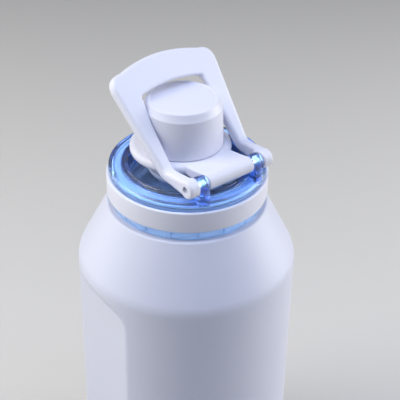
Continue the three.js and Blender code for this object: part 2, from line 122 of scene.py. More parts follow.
EAR_INNER_X = 15.5
EAR_OUTER_X = 21.2
EAR_RADIUS = 4.7
BORE_RADIUS = 2.1
FLAP_TOP_Z = 259.6
FLAP_CENTRE_Y = 6.2
FLAP_HOLE = 20
BOSS_RADIUS = 5.1
BOSS_INNER_X = 21.8
HANDLE_THICKNESS = 6.6
HANDLE_LEVEL = 18.5
HANDLE_RISE = math.radians(44.4)
HANDLE_BEND = 9
WINDOW_LIP = 1.5
LIP_START = HANDLE_LEVEL + 26
LIP_RUN = 14

# ---------- camera, light and floor ----------

VIEW_AZIMUTH = math.radians(-39.4)
VIEW_ELEVATION = math.radians(33.63)
VIEW_ROLL = math.radians(1.062)
VIEW_DISTANCE = 0.62306
VIEW_TARGET_HEIGHT = 0.22357
VIEW_SIDE_STEP = 0.00724
LENS = 100.1

# How bright the room around the jug is: as fill, in gloss, and seen through clear plastic
SURROUND_FILL = 0.03
SURROUND_MIRRORED = 0.3
SURROUND_SEEN_THROUGH = 3.2


def make_camera():
    right = Vector((math.cos(VIEW_AZIMUTH), math.sin(VIEW_AZIMUTH), 0))
    ahead = Vector((-math.sin(VIEW_AZIMUTH), math.cos(VIEW_AZIMUTH), 0))
    up = Vector((0, 0, 1))
    forward = ahead * math.cos(VIEW_ELEVATION) - up * math.sin(VIEW_ELEVATION)
    tilted_up = ahead * math.sin(VIEW_ELEVATION) + up * math.cos(VIEW_ELEVATION)
    axis_x = right * math.cos(VIEW_ROLL) + tilted_up * math.sin(VIEW_ROLL)
    axis_y = tilted_up * math.cos(VIEW_ROLL) - right * math.sin(VIEW_ROLL)
    data = bpy.data.cameras.new("camera")
    data.lens = LENS
    data.sensor_width = 36
    camera = bpy.data.objects.new("camera", data)
    bpy.context.scene.collection.objects.link(camera)
    target = right * VIEW_SIDE_STEP + up * VIEW_TARGET_HEIGHT
    place = Matrix((axis_x, axis_y, -forward)).transposed().to_4x4()
    place.translation = target - forward * VIEW_DISTANCE
    camera.matrix_world = place
    bpy.context.scene.camera = camera
    return right, ahead


def area_light(name, place, aim, size, power, colour=(1, 1, 1)):
    data = bpy.data.lights.new(name, "AREA")
    data.shape = "RECTANGLE"
    data.size, data.size_y = size
    data.energy = power
    data.color = colour
    light = bpy.data.objects.new(name, data)
    bpy.context.scene.collection.objects.link(light)
    light.location = place
    light.rotation_euler = (Vector(aim) - Vector(place)).to_track_quat("-Z", "Y").to_euler()
    return light


def make_studio(right, ahead):
    world = bpy.data.worlds.new("studio")
    bpy.context.scene.world = world
    world.use_nodes = True
    background = world.node_tree.nodes["Background"]
    background.inputs["Color"].default_value = (0.80, 0.86, 1.0, 1)
    tree = world.node_tree
    path = tree.nodes.new("ShaderNodeLightPath")
    mirrored = math_node(tree, "MULTIPLY", path.outputs["Is Glossy Ray"], SURROUND_MIRRORED)
    seen_through = math_node(tree, "MULTIPLY", path.outputs["Is Transmission Ray"], SURROUND_SEEN_THROUGH)
    surround = math_node(tree, "ADD", math_node(tree, "ADD", mirrored, seen_through), SURROUND_FILL)
    tree.links.new(surround, background.inputs["Strength"])
    up = Vector((0, 0, 1))
    aim = up * 0.2
    warm, cool = (1.0, 0.965, 0.89), (0.68, 0.77, 1.0)
    area_light("left_panel", -right * 0.95 + ahead * 0.12 + up * 0.45, aim, (0.9, 1.0), 5.1, warm)
    area_light("right_panel", right * 1.0 + ahead * 0.25 + up * 0.42, aim, (0.8, 1.0), 9.6, warm)
    area_light("front_left", -right * 0.9 - ahead * 0.6 + up * 0.5, aim, (0.6, 0.8), 0.9, cool)
    area_light("top_front", -ahead * 0.32 + up * 1.5, aim, (1.0, 0.6), 9.2, cool)
    area_light("top_left", -right * 0.8 - ahead * 0.15 + up * 1.1, aim, (0.7, 0.7), 7.9, warm)
    area_light("top_right", right * 0.8 - ahead * 0.15 + up * 1.1, aim, (0.7, 0.7), 3.0, cool)
    view = bpy.context.scene.view_settings
    view.view_transform = "Standard"
    view.look = "None"


def make_floor():
    mesh = bpy.data.meshes.new("floor")
    half = 6
    corners = [(-half, -half, 0), (half, -half, 0), (half, half, 0), (-half, half, 0)]
    mesh.from_pydata(corners, [], [(0, 1, 2, 3)])
    floor = bpy.data.objects.new("floor", mesh)
    bpy.context.scene.collection.objects.link(floor)
    material = bpy.data.materials.new("pale_floor")
    material.use_nodes = True
    shader = material.node_tree.nodes["Principled BSDF"]
    shader.inputs["Base Color"].default_value = (0.635, 0.625, 0.605, 1)
    shader.inputs["Roughness"].default_value = 0.85
    mesh.materials.append(material)


# ---------- node groups shared by the materials ----------


def new_group(name, inputs, outputs):
    tree = bpy.data.node_groups.new(name, "ShaderNodeTree")
    for label, kind, value in inputs:
        socket = tree.interface.new_socket(label, in_out="INPUT", socket_type=kind)
        socket.default_value = value
    for label, kind in outputs:
        tree.interface.new_socket(label, in_out="OUTPUT", socket_type=kind)
    return tree, tree.nodes.new("NodeGroupInput"), tree.nodes.new("NodeGroupOutput")


def math_node(tree, operation, first, second=None):
    node = tree.nodes.new("ShaderNodeMath")
    node.operation = operation
    for socket, value in zip(node.inputs, (first, second)):
        if value is None:
            continue
        if isinstance(value, (int, float)):
            socket.default_value = value
        else:
            tree.links.new(value, socket)
    return node.outputs[0]


def noise(tree, scale, detail=3.0, vector=None):
    node = tree.nodes.new("ShaderNodeTexNoise")
    node.inputs["Detail"].default_value = detail
    if isinstance(scale, (int, float)):
        node.inputs["Scale"].default_value = scale
    else:
        tree.links.new(scale, node.inputs["Scale"])
    if vector is None:
        place = tree.nodes.new("ShaderNodeTexCoord")
        vector = place.outputs["Object"]
    tree.links.new(vector, node.inputs["Vector"])
    return node.outputs["Fac"]


# Pebbled surface: two sizes of grain, and a slow drift used for tone and gloss.
def grain_group():
    tree, source, sink = new_group(
        "surface_grain",
        [
            ("Grain Scale", "NodeSocketFloat", 1500.0),
            ("Coarse Share", "NodeSocketFloat", 0.4),
            ("Drift Scale", "NodeSocketFloat", 25.0),
        ],
        [("Height", "NodeSocketFloat"), ("Drift", "NodeSocketFloat")],
    )
    fine = noise(tree, source.outputs["Grain Scale"], 2.0)
    third = math_node(tree, "MULTIPLY", source.outputs["Grain Scale"], 0.3)
    coarse = noise(tree, third, 2.0)
    coarse = math_node(tree, "MULTIPLY", coarse, source.outputs["Coarse Share"])
    tree.links.new(math_node(tree, "ADD", fine, coarse), sink.inputs["Height"])
    tree.links.new(noise(tree, source.outputs["Drift Scale"], 4.0), sink.inputs["Drift"])
    return tree


# Colour and roughness that wander a little from their middle values.
def variation_group():
    tree, source, sink = new_group(
        "tone_variation",
        [
            ("Drift", "NodeSocketFloat", 0.5),
            ("Color", "NodeSocketColor", (0.5, 0.5, 0.5, 1)),
            ("Worn Color", "NodeSocketColor", (0.6, 0.6, 0.6, 1)),
            ("Roughness", "NodeSocketFloat", 0.4),
            ("Roughness Spread", "NodeSocketFloat", 0.1),
        ],
        [("Color", "NodeSocketColor"), ("Roughness", "NodeSocketFloat")],
    )
    blend = tree.nodes.new("ShaderNodeMix")
    blend.data_type = "RGBA"
    tree.links.new(source.outputs["Drift"], blend.inputs["Factor"])
    tree.links.new(source.outputs["Color"], blend.inputs["A"])
    tree.links.new(source.outputs["Worn Color"], blend.inputs["B"])
    tree.links.new(blend.outputs["Result"], sink.inputs["Color"])
    offset = math_node(tree, "SUBTRACT", source.outputs["Drift"], 0.5)
    offset = math_node(tree, "MULTIPLY", offset, source.outputs["Roughness Spread"])
    rough = math_node(tree, "ADD", source.outputs["Roughness"], offset)
    tree.links.new(rough, sink.inputs["Roughness"])
    return tree


# Fine lines left by turning or polishing, drawn out along one direction.
def brushed_group():
    tree, source, sink = new_group(
        "brushed_lines",
        [("Stretch", "NodeSocketVector", (60.0, 60.0, 2500.0)), ("Roughness", "NodeSocketFloat", 0.25)],
        [("Height", "NodeSocketFloat"), ("Roughness", "NodeSocketFloat")],
    )
    place = tree.nodes.new("ShaderNodeTexCoord")
    scale = tree.nodes.new("ShaderNodeVectorMath")
    scale.operation = "MULTIPLY"
    tree.links.new(place.outputs["Object"], scale.inputs[0])
    tree.links.new(source.outputs["Stretch"], scale.inputs[1])
    lines = noise(tree, 1.0, 5.0, scale.outputs[0])
    tree.links.new(lines, sink.inputs["Height"])
    spread = math_node(tree, "MULTIPLY", lines, 0.18)
    tree.links.new(math_node(tree, "ADD", spread, source.outputs["Roughness"]), sink.inputs["Roughness"])
    return tree


GRAIN = grain_group()
VARIATION = variation_group()
BRUSHED = brushed_group()


def place_group(tree, group, **values):
    node = tree.nodes.new("ShaderNodeGroup")
    node.node_tree = group
    for label, value in values.items():
        node.inputs[label.replace("_", " ")].default_value = value
    return node


def bump(tree, shader, height, strength, depth):
    node = tree.nodes.new("ShaderNodeBump")
    node.inputs["Strength"].default_value = strength
    node.inputs["Distance"].default_value = depth
    tree.links.new(height, node.inputs["Height"])
    tree.links.new(node.outputs["Normal"], shader.inputs["Normal"])


def shaded(name, fixed):
    material = bpy.data.materials.new(name)
    material.use_nodes = True
    shader = material.node_tree.nodes["Principled BSDF"]
    for label, value in fixed.items():
        shader.inputs[label].default_value = value
    return material, material.node_tree, shader


def grained(name, colour, worn, roughness, spread, scale, strength, depth, drift=25.0, **fixed):
    constants = {label.replace("_", " "): value for label, value in fixed.items()}
    material, tree, shader = shaded(name, constants)
    grain = place_group(tree, GRAIN, Grain_Scale=scale, Drift_Scale=drift)
    tone = place_group(
        tree,
        VARIATION,
        Color=(*colour, 1),
        Worn_Color=(*worn, 1),
        Roughness=roughness,
        Roughness_Spread=spread,
    )
    tree.links.new(grain.outputs["Drift"], tone.inputs["Drift"])
    tree.links.new(tone.outputs["Color"], shader.inputs["Base Color"])
    tree.links.new(tone.outputs["Roughness"], shader.inputs["Roughness"])
    bump(tree, shader, grain.outputs["Height"], strength, depth)
    return material


def metal(name, colour, roughness, stretch, strength):
    material, tree, shader = shaded(name, {"Base Color": (*colour, 1), "Metallic": 1.0})
    lines = place_group(tree, BRUSHED, Stretch=stretch, Roughness=roughness)
    tree.links.new(lines.outputs["Roughness"], shader.inputs["Roughness"])
    bump(tree, shader, lines.outputs["Height"], strength, 0.00003)
    return material


# See-through tinted plastic: clear at the skin, with the tint taken up through its depth.
def clear_plastic(name, tint, depth_tint, density):
    material, tree, shader = shaded(
        name,
        {
            "Base Color": (*tint, 1),
            "Transmission Weight": 0.92,
            "IOR": 1.5,
            "Specular IOR Level": 0.6,
        },
    )
    grain = place_group(tree, GRAIN, Grain_Scale=300.0, Drift_Scale=60.0)
    tone = place_group(
        tree,
        VARIATION,
        Color=(*tint, 1),
        Worn_Color=(*[min(1.0, c * 1.05) for c in tint], 1),
        Roughness=0.03,
        Roughness_Spread=0.02,
    )
    tree.links.new(grain.outputs["Drift"], tone.inputs["Drift"])
    tree.links.new(tone.outputs["Color"], shader.inputs["Base Color"])
    tree.links.new(tone.outputs["Roughness"], shader.inputs["Roughness"])
    bump(tree, shader, grain.outputs["Drift"], 0.05, 0.0002)
    volume = tree.nodes.new("ShaderNodeVolumeAbsorption")
    volume.inputs["Color"].default_value = (*depth_tint, 1)
    volume.inputs["Density"].default_value = density
    tree.links.new(volume.outputs["Volume"], tree.nodes["Material Output"].inputs["Volume"])
    return material


COAT = grained(
    "periwinkle_powder_coat",
    (0.640, 0.665, 0.795),
    (0.665, 0.690, 0.815),
    0.44, 0.08, 1400.0, 0.16, 0.0001,
    Coat_Weight=0.04,
    Coat_Roughness=0.35,
)
MOULDED = grained(
    "periwinkle_plastic",
    (0.745, 0.760, 0.880),
    (0.775, 0.790, 0.900),
    0.36, 0.08, 2600.0, 0.07, 0.00006,
)
PALE = grained(
    "pale_food_plastic",
    (0.70, 0.76, 0.93),
    (0.73, 0.79, 0.95),
    0.30, 0.06, 2200.0, 0.05, 0.00005,
)
SILICONE = grained(
    "matt_silicone",
    (0.46, 0.52, 0.76),
    (0.52, 0.58, 0.80),
    0.68, 0.12, 1800.0, 0.20, 0.00008,
)
SOLDER = grained(
    "sealing_metal",
    (0.30, 0.30, 0.29),
    (0.42, 0.42, 0.40),
    0.50, 0.20, 900.0, 0.40, 0.0001,
    Metallic=0.7,
)
CLEAR = clear_plastic("clear_blue_plastic", (0.70, 0.86, 1.0), (0.02, 0.40, 1.0), 105.0)
STEEL = metal("brushed_steel", (0.66, 0.66, 0.67), 0.20, (60.0, 60.0, 2500.0), 0.25)
POLISHED = metal("polished_steel", (0.80, 0.80, 0.82), 0.06, (2200.0, 160.0, 160.0), 0.10)

# ---------- mesh helpers ----------


def new_piece(name, points, faces, material, smooth_angle=35):
    mesh = bpy.data.meshes.new(name)
    mesh.from_pydata([tuple(c * MM for c in point) for point in points], [], faces)
    mesh.validate()
    piece = bpy.data.objects.new(name, mesh)
    bpy.context.scene.collection.objects.link(piece)
    mesh.materials.append(material)
    finish_mesh(piece, smooth_angle)
    return piece


def finish_mesh(piece, smooth_angle=35):
    mesh = piece.data
    shape = bmesh.new()
    shape.from_mesh(mesh)
    bmesh.ops.remove_doubles(shape, verts=shape.verts, dist=1e-7)
    bmesh.ops.recalc_face_normals(shape, faces=shape.faces)
    shape.to_mesh(mesh)
    shape.free()
    mesh.shade_smooth()
    mesh.set_sharp_from_angle(angle=math.radians(smooth_angle))


def rounded(corners, step=12):
    """Corners are (radius, height) or (radius, height, fillet); each fillet becomes an arc."""
    count = len(corners)
    points = []
    for i, corner in enumerate(corners):
        here = Vector(corner[:2])
        fillet = corner[2] if len(corner) > 2 else 0
        if not fillet:
            points.append(tuple(here))
            continue
        back = (Vector(corners[i - 1][:2]) - here).normalized()
        ahead = (Vector(corners[(i + 1) % count][:2]) - here).normalized()
        half = back.angle(ahead) / 2
        middle = here + (back + ahead).normalized() * fillet / math.sin(half)
        start = here + back * fillet / math.tan(half)
        sweep = math.pi - 2 * half
        side = 1 if back.cross(ahead) < 0 else -1
        steps = max(2, math.ceil(math.degrees(sweep) / step))
        spoke = start - middle
        for k in range(steps + 1):
            turn = side * sweep * k / steps
            cos, sin = math.cos(turn), math.sin(turn)
            turned = Vector((spoke.x * cos - spoke.y * sin, spoke.x * sin + spoke.y * cos))
            points.append(tuple(middle + turned))
    return points


def revolved(outline, turns=TURNS, centre=(0.0, 0.0)):
    """Points and faces of a closed outline of (radius, height) turned about an upright axis."""
    on_axis = outline[0][0] == 0 and outline[-1][0] == 0
    points, rows = [], []
    for radius, z in outline:
        if radius == 0:
            rows.append([len(points)] * turns)
            points.append((centre[0], centre[1], z))
            continue
        rows.append(list(range(len(points), len(points) + turns)))
        for k in range(turns):
            angle = 2 * math.pi * k / turns
            points.append((centre[0] + radius * math.cos(angle), centre[1] + radius * math.sin(angle), z))
    pairs = list(zip(rows, rows[1:])) if on_axis else list(zip(rows, rows[1:] + rows[:1]))
    faces = []
    for lower, upper in pairs:
        for k in range(turns):
            n = (k + 1) % turns
            face = [lower[k], lower[n], upper[n], upper[k]]
            face = [v for i, v in enumerate(face) if v != face[i - 1]]
            if len(set(face)) >= 3:
                faces.append(tuple(dict.fromkeys(face)))
    return points, faces


def turned_piece(name, outline, material, turns=TURNS, centre=(0.0, 0.0)):
    points, faces = revolved(outline, turns, centre)
    return new_piece(name, points, faces, material)


def along_hinge(points):
    """Turns a shape made about an upright axis so that its axis is the hinge's."""
    return [(z, HINGE.y + y, HINGE.z - x) for x, y, z in points]


def merged_piece(name, parts, material, cell, passes, smooth_angle=60):
    """Several closed shapes melted into one moulded piece with soft edges."""
    points, faces = [], []
    for part_points, part_faces in parts:
        base = len(points)
        points += part_points
        faces += [tuple(base + v for v in face) for face in part_faces]
    piece = new_piece(name, points, faces, material, smooth_angle)
    melt = piece.modifiers.new("melt", "REMESH")
    melt.mode = "VOXEL"
    melt.voxel_size = cell * MM
    melt.adaptivity = 0
    soften = piece.modifiers.new("soften", "SMOOTH")
    soften.factor = 0.5
    soften.iterations = passes
    return bake_modifiers(piece, smooth_angle)


def bake_modifiers(piece, smooth_angle=60):
    """Swaps the piece's mesh for its finished one and drops its modifiers."""
    bpy.context.view_layer.update()
    graph = bpy.context.evaluated_depsgraph_get()
    mesh = bpy.data.meshes.new_from_object(piece.evaluated_get(graph))
    old = piece.data
    materials = list(old.materials)
    piece.modifiers.clear()
    piece.data = mesh
    bpy.data.meshes.remove(old)
    if not mesh.materials:
        for material in materials:
            mesh.materials.append(material)
    mesh.name = piece.name
    mesh.shade_smooth()
    mesh.set_sharp_from_angle(angle=math.radians(smooth_angle))
    return piece


def settle(piece, body, slot, *nodes):
    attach(piece, body)
    if nodes:
        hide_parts(*nodes)
    return piece


# ---------- geometry node trees ----------


def geometry_tree(name, inputs):
    tree = bpy.data.node_groups.new(name, "GeometryNodeTree")
    tree.interface.new_socket("Geometry", in_out="INPUT", socket_type="NodeSocketGeometry")
    for label, kind, value in inputs:
        socket = tree.interface.new_socket(label, in_out="INPUT", socket_type=kind)
        if value is not None:
            socket.default_value = value
    tree.interface.new_socket("Geometry", in_out="OUTPUT", socket_type="NodeSocketGeometry")
    return tree, tree.nodes.new("NodeGroupInput"), tree.nodes.new("NodeGroupOutput")


def run_tree(piece, tree, values, smooth_angle=60):
    modifier = piece.modifiers.new(tree.name, "NODES")
    modifier.node_group = tree
    items = tree.interface.items_tree
    sockets = {item.name: item.identifier for item in items if getattr(item, "in_out", "") == "INPUT"}
    for label, value in values.items():
        modifier[sockets[label]] = value
    return bake_modifiers(piece, smooth_angle)


def finish_tree(tree, source, sink, geometry):
    realize = tree.nodes.new("GeometryNodeRealizeInstances")
    paint = tree.nodes.new("GeometryNodeSetMaterial")
    tree.links.new(geometry, realize.inputs[0])
    tree.links.new(realize.outputs[0], paint.inputs["Geometry"])
    tree.links.new(source.outputs["Material"], paint.inputs["Material"])
    tree.links.new(paint.outputs[0], sink.inputs[0])


# Presses two opposite flat grips into a round wall. A point moves in to whichever is
# nearer the axis: the round wall, or a plane whose edges ramp out past the wall.
# The named attribute "inset" says how far inside the outer skin a point lies.
def panel_tree():
    tree, source, sink = geometry_tree(
        "press_grip_panels",
        [(label, "NodeSocketFloat", value) for label, value in PANEL.items()]
        + [("Material", "NodeSocketMaterial", None)],
    )
    given = source.outputs

    def calc(operation, first, second=0.0, third=None):
        node = tree.nodes.new("ShaderNodeMath")
        node.operation = operation
        for socket, value in zip(node.inputs, (first, second, third)):
            if value is None:
                continue
            if isinstance(value, (int, float)):
                socket.default_value = value
            else:
                tree.links.new(value, socket)
        return node.outputs[0]

    position = tree.nodes.new("GeometryNodeInputPosition")
    scaled = tree.nodes.new("ShaderNodeVectorMath")
    scaled.operation = "SCALE"
    scaled.inputs["Scale"].default_value = 1 / MM
    tree.links.new(position.outputs[0], scaled.inputs[0])
    split = tree.nodes.new("ShaderNodeSeparateXYZ")
    tree.links.new(scaled.outputs[0], split.inputs[0])
    x, y, z = split.outputs
    inset = tree.nodes.new("GeometryNodeInputNamedAttribute")
    inset.data_type = "FLOAT"
    inset.inputs["Name"].default_value = "inset"
    own = calc("SQRT", calc("ADD", calc("MULTIPLY", x, x), calc("MULTIPLY", y, y)))
    radius = calc("ADD", own, inset.outputs[0])
    cos = calc("COSINE", given["Azimuth"])
    sin = calc("SINE", given["Azimuth"])
    facing = calc("ABSOLUTE", calc("ADD", calc("MULTIPLY", x, cos), calc("MULTIPLY", y, sin)))
    sideways = calc("ABSOLUTE", calc("SUBTRACT", calc("MULTIPLY", y, cos), calc("MULTIPLY", x, sin)))
    facing = calc("MAXIMUM", calc("DIVIDE", facing, own), 0.02)
    slant = calc("DIVIDE", calc("DIVIDE", sideways, own), facing)
    across = calc("MULTIPLY", slant, given["Plane Distance"])
    middle = calc("MULTIPLY", calc("ADD", given["Low"], given["High"]), 0.5)
    tall = calc("MULTIPLY", calc("SUBTRACT", given["High"], given["Low"]), 0.5)
    upright = calc("ABSOLUTE", calc("SUBTRACT", z, middle))
    past_side = calc("SUBTRACT", across, calc("SUBTRACT", given["Half Width"], given["Corner"]))
    past_end = calc("SUBTRACT", upright, calc("SUBTRACT", tall, given["Corner"]))
    out_side = calc("MAXIMUM", past_side, 0.0)
    out_end = calc("MAXIMUM", past_end, 0.0)
    squares = calc("ADD", calc("MULTIPLY", out_side, out_side), calc("MULTIPLY", out_end, out_end))
    reach = calc("SQRT", squares)
    ramp = calc("SMOOTH_MAX", calc("SUBTRACT", reach, given["Corner"]), 0.0, given["Softness"])
    plane = calc("DIVIDE", calc("ADD", given["Plane Distance"], ramp), facing)
    pressed = calc("SMOOTH_MIN", radius, plane, given["Softness"])
    ratio = calc("DIVIDE", calc("SUBTRACT", pressed, inset.outputs[0]), own)
    join = tree.nodes.new("ShaderNodeCombineXYZ")
    tree.links.new(calc("MULTIPLY", calc("MULTIPLY", x, ratio), MM), join.inputs[0])
    tree.links.new(calc("MULTIPLY", calc("MULTIPLY", y, ratio), MM), join.inputs[1])
    tree.links.new(calc("MULTIPLY", z, MM), join.inputs[2])
    move = tree.nodes.new("GeometryNodeSetPosition")
    tree.links.new(given["Geometry"], move.inputs["Geometry"])
    tree.links.new(join.outputs[0], move.inputs["Position"])
    finish_tree(tree, source, sink, move.outputs[0])
    return tree


# Rounded ridges that climb a cylinder, one for each start of a screw thread.
def thread_tree():
    tree, source, sink = geometry_tree(
        "thread_ridges",
        [
            ("Radius", "NodeSocketFloat", 39.4),
            ("Ridge Radius", "NodeSocketFloat", 0.9),
            ("Low", "NodeSocketFloat", 229.5),
            ("Lead", "NodeSocketFloat", 8.0),
            ("Turn", "NodeSocketFloat", 0.75),
            ("Start Angle", "NodeSocketFloat", 0.0),
            ("Material", "NodeSocketMaterial", None),
        ],
    )
    given = source.outputs

    def times(first, second):
        return math_node(tree, "MULTIPLY", first, second)

    spiral = tree.nodes.new("GeometryNodeCurveSpiral")
    spiral.inputs["Resolution"].default_value = 96
    tree.links.new(given["Turn"], spiral.inputs["Rotations"])
    tree.links.new(times(given["Radius"], MM), spiral.inputs["Start Radius"])
    tree.links.new(times(given["Radius"], MM), spiral.inputs["End Radius"])
    tree.links.new(times(times(given["Lead"], given["Turn"]), MM), spiral.inputs["Height"])
    section = tree.nodes.new("GeometryNodeCurvePrimitiveCircle")
    section.inputs["Resolution"].default_value = 12
    tree.links.new(times(given["Ridge Radius"], MM), section.inputs["Radius"])
    sweep = tree.nodes.new("GeometryNodeCurveToMesh")
    sweep.inputs["Fill Caps"].default_value = True
    tree.links.new(spiral.outputs[0], sweep.inputs["Curve"])
    tree.links.new(section.outputs[0], sweep.inputs["Profile Curve"])
    join = tree.nodes.new("GeometryNodeJoinGeometry")
    for half_turn in (0.0, math.pi):
        turn = tree.nodes.new("GeometryNodeTransform")
        angle = tree.nodes.new("ShaderNodeCombineXYZ")
        tree.links.new(math_node(tree, "ADD", given["Start Angle"], half_turn), angle.inputs[2])
        lift = tree.nodes.new("ShaderNodeCombineXYZ")
        tree.links.new(times(given["Low"], MM), lift.inputs[2])
        tree.links.new(sweep.outputs[0], turn.inputs["Geometry"])
        tree.links.new(angle.outputs[0], turn.inputs["Rotation"])
        tree.links.new(lift.outputs[0], turn.inputs["Translation"])
        tree.links.new(turn.outputs[0], join.inputs[0])
    finish_tree(tree, source, sink, join.outputs[0])
    return tree


# One small part set many times round the jug's axis, each turned to face outwards.
def round_tree():
    tree, source, sink = geometry_tree(
        "set_round_axis",
        [
            ("Count", "NodeSocketInt", 16),
            ("Radius", "NodeSocketFloat", 42.0),
            ("Height", "NodeSocketFloat", 229.0),
            ("Material", "NodeSocketMaterial", None),
        ],
    )
    given = source.outputs
    circle = tree.nodes.new("GeometryNodeCurvePrimitiveCircle")
    tree.links.new(given["Count"], circle.inputs["Resolution"])
    tree.links.new(math_node(tree, "MULTIPLY", given["Radius"], MM), circle.inputs["Radius"])
    points = tree.nodes.new("GeometryNodeCurveToPoints")
    points.mode = "EVALUATED"
    place = tree.nodes.new("GeometryNodeInstanceOnPoints")
    index = tree.nodes.new("GeometryNodeInputIndex")
    share = math_node(tree, "DIVIDE", 2 * math.pi, given["Count"])
    angle = tree.nodes.new("ShaderNodeCombineXYZ")
    tree.links.new(math_node(tree, "MULTIPLY", index.outputs[0], share), angle.inputs[2])
    tree.links.new(circle.outputs[0], points.inputs[0])
    tree.links.new(points.outputs["Points"], place.inputs["Points"])
    tree.links.new(given["Geometry"], place.inputs["Instance"])
    tree.links.new(angle.outputs[0], place.inputs["Rotation"])
    lift = tree.nodes.new("GeometryNodeTransform")
    up = tree.nodes.new("ShaderNodeCombineXYZ")
    tree.links.new(math_node(tree, "MULTIPLY", given["Height"], MM), up.inputs[2])
    tree.links.new(place.outputs[0], lift.inputs["Geometry"])
    tree.links.new(up.outputs[0], lift.inputs["Translation"])
    finish_tree(tree, source, sink, lift.outputs[0])
    return tree


PANEL_TREE = panel_tree()
THREAD_TREE = thread_tree()
ROUND_TREE = round_tree()

# ---------- bottle ----------


def subdivide_outline(points, longest):
    """Adds points along the straight stretches so that a pressed shape has rows to bend."""
    result = []
    for here, after in zip(points, points[1:]):
        steps = max(1, math.ceil(math.dist(here, after) / longest))
        result += [tuple(Vector(here).lerp(Vector(after), k / steps)) for k in range(steps)]
    return result + [points[-1]]


def shell_path(inset):
    radius = BODY_RADIUS - inset
    low_z = SHELL_LOW_Z + inset
    neck = NECK_RADIUS - inset
    top = SHOULDER_TOP_Z - inset
    corners = [
        (BASE_OPENING, low_z),
        (radius, low_z, 7 - inset),
        (radius, SHOULDER_CORNER_Z, SHOULDER_FILLET - inset),
        (SHOULDER_TOP_RADIUS - 0.6 * inset, top, 1.4),
        (neck, top, 0.5),
        (neck, NECK_TOP_Z),
    ]
    return subdivide_outline(rounded(corners, 4), 2.2)


def make_shell():
    outside = shell_path(0)
    inside = shell_path(SHELL_WALL)[::-1]
    points, faces = revolved(outside + inside, 320)
    shell = new_piece("powder_coated_shell", points, faces, COAT, 40)
    inner = shell.data.attributes.new("inset", "FLOAT", "POINT")
    wall = {(round(r, 3), round(z, 3)) for r, z in inside}
    depth = [
        SHELL_WALL if (round(math.hypot(v.co.x, v.co.y) / MM, 3), round(v.co.z / MM, 3)) in wall else 0.0
        for v in shell.data.vertices
    ]
    inner.data.foreach_set("value", depth)
    run_tree(shell, PANEL_TREE, {**PANEL, "Material": COAT}, 40)
    settle(shell, "bottle", "powder_coat", "outer_shell")


def make_neck_thread():
    ridges = new_piece("neck_thread", [(0, 0, 0)], [], STEEL)
    run_tree(ridges, THREAD_TREE, {"Radius": 39.2, "Ridge Radius": 1.0, "Material": STEEL})
    settle(ridges, "bottle", "brushed_steel")


def make_liner():
    wall = 0.6
    floor = low("inner_liner").z + wall
    corners = [
        (0, floor),
        (LINER_RADIUS, floor, 10),
        (LINER_RADIUS, 187, 14),
        (MOUTH_RADIUS, 221, 8),
        (MOUTH_RADIUS, LIP_TOP_Z, 0.3),
        (NECK_RADIUS, LIP_TOP_Z, 0.3),
        (NECK_RADIUS, LIP_TOP_Z - wall),
        (MOUTH_RADIUS + wall, LIP_TOP_Z - wall),
        (MOUTH_RADIUS + wall, 221, 8),
        (LINER_RADIUS + wall, 187, 14),
        (LINER_RADIUS + wall, floor - wall, 10),
        (0, floor - wall),
    ]
    liner = turned_piece("steel_liner", rounded(corners, 8), STEEL)
    settle(liner, "bottle", "brushed_steel", "inner_liner")


def make_base():
    plate_low, plate_high = low("base_plate").z, high("base_plate").z
    outer = high("base_plate").x
    step = SHELL_WALL
    plate = turned_piece("base_disc", rounded([
        (0, plate_high - step),
        (4, plate_high - step, 0.6),
        (6, plate_low, 0.6),
        (outer, plate_low),
        (outer, plate_low + step),
        (6.5, plate_low + step, 0.6),
        (4.5, plate_high, 0.6),
        (0, plate_high),
    ], 20), STEEL, 128)
    settle(plate, "bottle", "brushed_steel", "base_plate")
    pad_radius, pad_top = high("base_pad").x, high("base_pad").z
    outline = [(0, 0.0), (12, 0.0), (12.4, 0.5), (14.6, 0.5), (15, 0.0)]
    for radius in (24, 33, 42):
        outline += [(radius, 0.0), (radius + 0.4, 0.5), (radius + 1.2, 0.5), (radius + 1.6, 0.0)]
    outline += rounded([(pad_radius, 0.0, 1.3), (pad_radius, pad_top, 0.4), (0, pad_top)], 15)
    pad = turned_piece("silicone_base_pad", outline, SILICONE, 160)
    settle(pad, "bottle", "silicone", "base_pad")


# ---------- lid ----------


def ear_shape(side):
    """One hinge ear: a plate with a round head and softened edges, standing on the rim."""
    foot = RIM_TOP_Z - 3 - HINGE.z
    spread = EAR_RADIUS + 1.2
    outline = [(-spread, foot), (spread, foot), (spread, RIM_TOP_Z - HINGE.z + 0.6), (EAR_RADIUS, -2.0)]
    steps = 28
    turns = [math.pi * k / steps for k in range(steps + 1)]
    outline += [(EAR_RADIUS * math.cos(turn), EAR_RADIUS * math.sin(turn)) for turn in turns]
    outline += [(-EAR_RADIUS, -2.0), (-spread, RIM_TOP_Z - HINGE.z + 0.6)]
    edge = 0.7
    inner, outer = EAR_INNER_X, EAR_OUTER_X
    layers = [(inner, edge), (inner + 0.2, edge * 0.3), (inner + edge, 0), (outer - edge, 0)]
    layers += [(outer - 0.2, edge * 0.3), (outer, edge)]
    points = []
    for x, shrink in layers:
        for y, z in outline:
            scale = 1 - shrink / math.hypot(y, z)
            points.append((side * x, HINGE.y + y * scale, HINGE.z + z * scale))
    count = len(outline)
    faces = []
    for layer in range(len(layers) - 1):
        for k in range(count):
            n = (k + 1) % count
            a, b = layer * count, (layer + 1) * count
            faces.append((a + k, a + n, b + n, b + k))
    faces.append(tuple(range(count)))
    faces.append(tuple(range(len(points) - count, len(points))))
    return points, faces


def cut(piece, tool, operation):
    modifier = piece.modifiers.new(operation.lower(), "BOOLEAN")
    modifier.operation = operation
    modifier.solver = "EXACT"
    modifier.object = tool
    bake_modifiers(piece, 35)
    bpy.data.objects.remove(tool)


